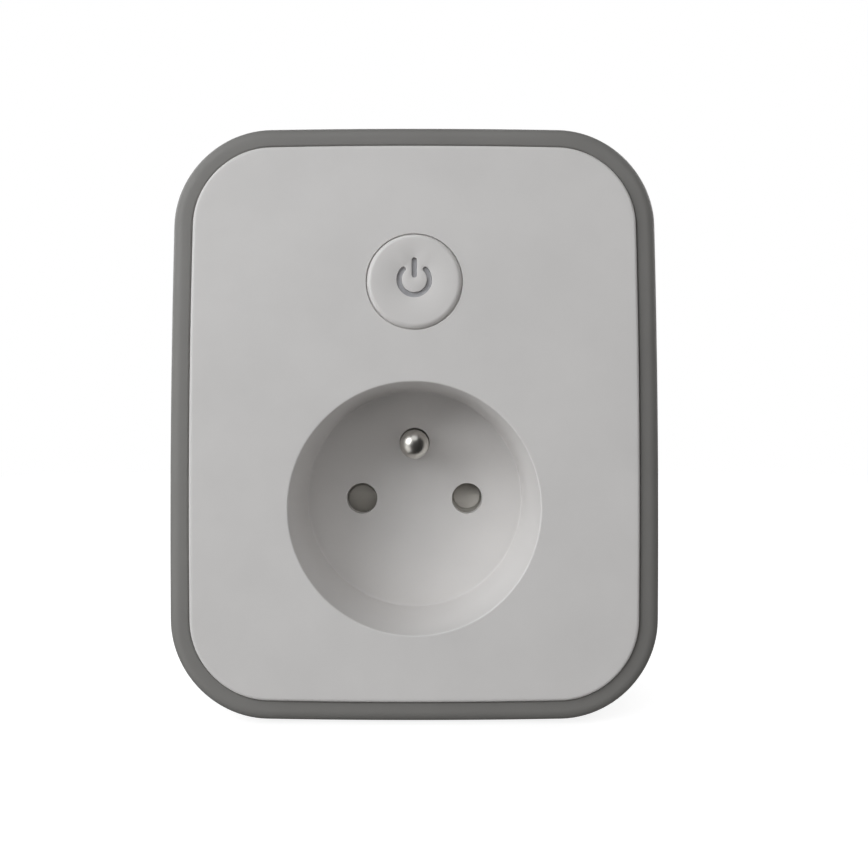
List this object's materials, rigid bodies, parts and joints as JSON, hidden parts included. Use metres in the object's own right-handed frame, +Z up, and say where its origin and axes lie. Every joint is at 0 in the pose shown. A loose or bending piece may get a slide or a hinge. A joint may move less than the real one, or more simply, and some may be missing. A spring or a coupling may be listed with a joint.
{
  "type": "plug-in power meter",
  "caption": "Plug-in switched power meter: rounded grey-banded case, white front with round power button above a recessed socket with standing earth pin, plug boss with round pins behind.",
  "frame": {"origin": "centre of the plug boss's flat end face, on the plug's axis", "axes": "+Y out of the plug towards the wall, +X to the right seen from the front, +Z up"},
  "size_m": [0.0792, 0.073, 0.0961],
  "materials": {
    "white_shell": "fine satin grain, warm white, slight sheen",
    "grey_shell": "fine matt grain, warm mid grey",
    "button_white": "smooth satin, warm white",
    "light_guide": "milky translucent, polished where it shows",
    "liner": "off-white thermoset, dull",
    "shutter_grey": "moulded, slightly waxy",
    "nickel": "bright nickel plating, turned, light wear at the tips",
    "brass": "stamped sheet, faint rolling lines",
    "copper": "enamelled wire and drawn strip",
    "spring_steel": "drawn and rolled, clean",
    "zinc": "bright zinc plating, slightly cloudy",
    "board": "green solder mask over glass fibre",
    "black_plastic": "moulded, fine grain",
    "can_sleeve": "heat-shrunk sleeve",
    "blue_epoxy": "dipped epoxy",
    "yellow_case": "filled moulded case",
    "tape": "wound polyester tape",
    "ferrite": "sintered, dull",
    "resistor_body": "dipped, dull",
    "lamp_lens": "clear epoxy over a phosphor"
  },
  "bodies": {
    "housing": {"front_cover": "white_shell", "side_frame": "grey_shell", "rear_cover": "white_shell", "case_screw_1": "zinc", "case_screw_2": "zinc", "case_screw_3": "zinc", "case_screw_4": "zinc", "button_board": "board", "tact_switch": "spring_steel", "status_led": "lamp_lens", "board_link_header": "black_plastic", "earth_pin": "nickel", "shutter_spring": "spring_steel", "contact_block": "liner", "contact_block_screw_1": "zinc", "contact_block_screw_2": "zinc", "line_contact": "brass", "neutral_contact": "brass", "line_out_bar": "brass", "neutral_out_bar": "brass", "line_pin": "nickel", "neutral_pin": "nickel", "pin_carrier": "liner", "pin_carrier_screw_1": "zinc", "pin_carrier_screw_2": "zinc", "plug_earth_strap": "nickel", "plug_earth_leaf": "brass", "line_in_bar": "brass", "neutral_in_bar": "brass", "main_board": "board", "main_board_screw_1": "zinc", "main_board_screw_2": "zinc", "relay_cover": "black_plastic", "relay_base": "black_plastic", "relay_coil": "copper", "relay_yoke": "spring_steel", "varistor": "blue_epoxy", "fusible_resistor": "resistor_body", "transformer_core": "ferrite", "transformer_winding": "tape", "choke": "ferrite", "current_shunt": "copper", "radio_board": "board", "radio_shield": "zinc", "noise_capacitor": "yellow_case", "input_capacitor": "can_sleeve", "output_capacitor": "can_sleeve", "rectifier": "black_plastic", "metering_chip": "black_plastic", "regulator_chip": "black_plastic"},
    "power_button": {"button_cap": "button_white", "button_light_guide": "light_guide"},
    "switch_plunger": {"tact_plunger": "black_plastic"},
    "shutter": {"shutter_rotor": "shutter_grey"},
    "armature": {"relay_armature": "spring_steel"}
  },
  "joints": [
    {"name": "button_press", "type": "slide", "parent": "housing", "child": "power_button", "axis": [0, 1, 0], "range_m": [0, 0.0005], "stiffness_N_per_m": 3000},
    {"name": "plunger_press", "type": "slide", "parent": "housing", "child": "switch_plunger", "axis": [0, 1, 0], "range_m": [0, 0.0005]},
    {"name": "shutter_turn", "type": "hinge", "parent": "housing", "child": "shutter", "pos_m": [0, -0.033, 0], "axis": [0, 1, 0], "range_deg": [0, 34], "stiffness_Nm_per_rad": 0.01, "deforming": ["shutter_spring"]},
    {"name": "armature_pull", "type": "hinge", "parent": "housing", "child": "armature", "pos_m": [-0.0212, -0.0346, 0.0304], "axis": [0, 0, -1], "range_deg": [0, 7.5], "stiffness_Nm_per_rad": 0.02}
  ],
  "couplings": [
    {"joint": "plunger_press", "follows": "button_press", "ratio": 1}
  ]
}
